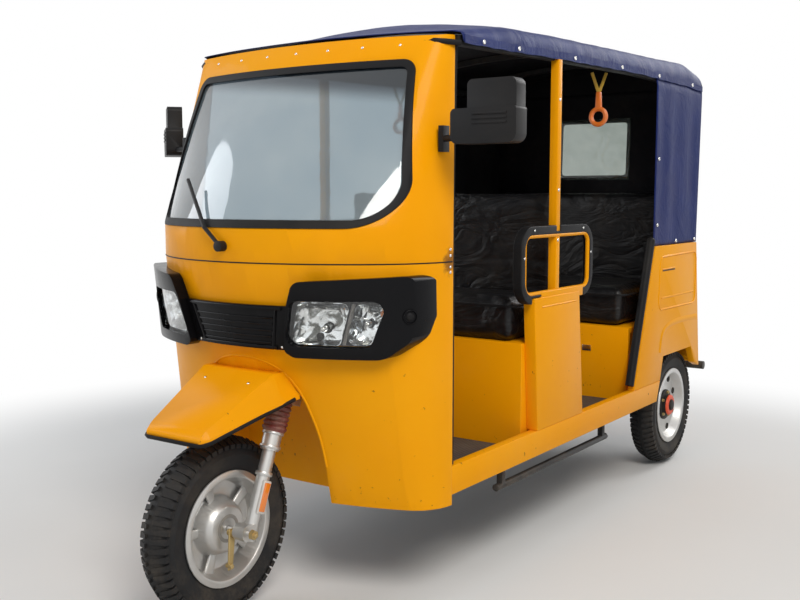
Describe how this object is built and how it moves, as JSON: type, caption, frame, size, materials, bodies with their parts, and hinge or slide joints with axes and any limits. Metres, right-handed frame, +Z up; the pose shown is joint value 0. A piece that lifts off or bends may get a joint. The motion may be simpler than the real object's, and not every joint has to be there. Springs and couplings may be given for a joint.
{
  "type": "auto rickshaw",
  "caption": "Three-wheeled auto rickshaw with a rounded yellow steel cab, open doorways, driver's seat, rear bench and a dark blue fabric hood over a steel frame.",
  "frame": {"origin": "on the ground, under the middle of the whole vehicle's box", "axes": "+Z up, -Y forward, +X to the vehicle's left side"},
  "size_m": [1.5307, 2.9839, 1.8198],
  "materials": {
    "yellow_paint": "glossy amber yellow paint",
    "grab_loop_strip": "amber yellow strip in a black foam pad",
    "black_seal": "matte black",
    "black_mask": "glossy black",
    "screen_glass": "clear, slightly tinted",
    "window_film": "clear soft film",
    "lamp_lens": "clear lens over bright bowls",
    "rear_lens": "red and amber lens",
    "black_plastic": "grained black",
    "seat_vinyl": "black vinyl in clear film",
    "floor_steel": "grey, ribbed mat on top",
    "chassis_black": "satin black",
    "engine_casting": "dull grey casting",
    "frame_tube": "satin black tube",
    "hood_fabric": "navy blue coated cloth",
    "strap_orange": "orange ring on yellow strap",
    "fork_silver": "silver grey",
    "rim_silver": "silver lacquer",
    "tyre_rubber": "matte black rubber"
  },
  "bodies": {
    "body": {"dash_shelf": "black_plastic", "driver_backrest": "seat_vinyl", "driver_cushion": "seat_vinyl", "driver_seat_box": "yellow_paint", "edge_pad_left": "black_seal", "edge_pad_right": "black_seal", "floor_pan": "floor_steel", "front_mudguard": "yellow_paint", "grab_loop_left": "grab_loop_strip", "grab_loop_right": "grab_loop_strip", "hang_strap_left": "strap_orange", "hang_strap_right": "strap_orange", "headlamp_left": "lamp_lens", "headlamp_right": "lamp_lens", "hood": "hood_fabric", "lamp_mask": "black_mask", "mid_panel_left": "yellow_paint", "mid_panel_right": "yellow_paint", "mirror_left": "black_plastic", "mirror_right": "black_plastic", "nose_panel": "yellow_paint", "post_left": "yellow_paint", "post_right": "yellow_paint", "power_unit": "engine_casting", "rear_axle": "chassis_black", "rear_bench_back": "seat_vinyl", "rear_bench_base": "yellow_paint", "rear_bench_cushion": "seat_vinyl", "rear_bumper": "chassis_black", "rear_crossmember": "floor_steel", "rear_curtain": "hood_fabric", "rear_lamp_left": "rear_lens", "rear_lamp_right": "rear_lens", "rear_quarter_left": "yellow_paint", "rear_quarter_right": "yellow_paint", "rear_wall": "yellow_paint", "rear_window": "window_film", "roof_bow_first": "frame_tube", "roof_bow_post": "frame_tube", "roof_bow_rear": "frame_tube", "roof_bow_third": "frame_tube", "roof_rail_left": "frame_tube", "roof_rail_right": "frame_tube", "sill_left": "yellow_paint", "sill_right": "yellow_paint", "step_bar_left": "chassis_black", "step_bar_right": "chassis_black", "windscreen_frame": "yellow_paint", "windscreen_glass": "screen_glass", "windscreen_seal": "black_seal", "wiper": "black_plastic"},
    "fork": {"steering_fork": "fork_silver", "handlebar": "fork_silver"},
    "front_wheel": {"front_tyre": "tyre_rubber", "front_rim": "rim_silver"},
    "rear_wheel_left": {"rear_tyre_left": "tyre_rubber", "rear_rim_left": "rim_silver"},
    "rear_wheel_right": {"rear_tyre_right": "tyre_rubber", "rear_rim_right": "rim_silver"}
  },
  "joints": [
    {"name": "steering", "type": "hinge", "parent": "body", "child": "fork", "pos_m": [0, -1.168, 0.262], "axis": [0, 0.3584, 0.9336], "range_deg": [-32, 32]},
    {"name": "front_wheel_spin", "type": "hinge", "parent": "fork", "child": "front_wheel", "pos_m": [0, -1.23, 0.262], "axis": [1, 0, 0], "continuous": true},
    {"name": "rear_wheel_left_spin", "type": "hinge", "parent": "body", "child": "rear_wheel_left", "pos_m": [0.425, 1.1355, 0.262], "axis": [1, 0, 0], "continuous": true},
    {"name": "rear_wheel_right_spin", "type": "hinge", "parent": "body", "child": "rear_wheel_right", "pos_m": [-0.425, 1.1355, 0.262], "axis": [1, 0, 0], "continuous": true}
  ]
}
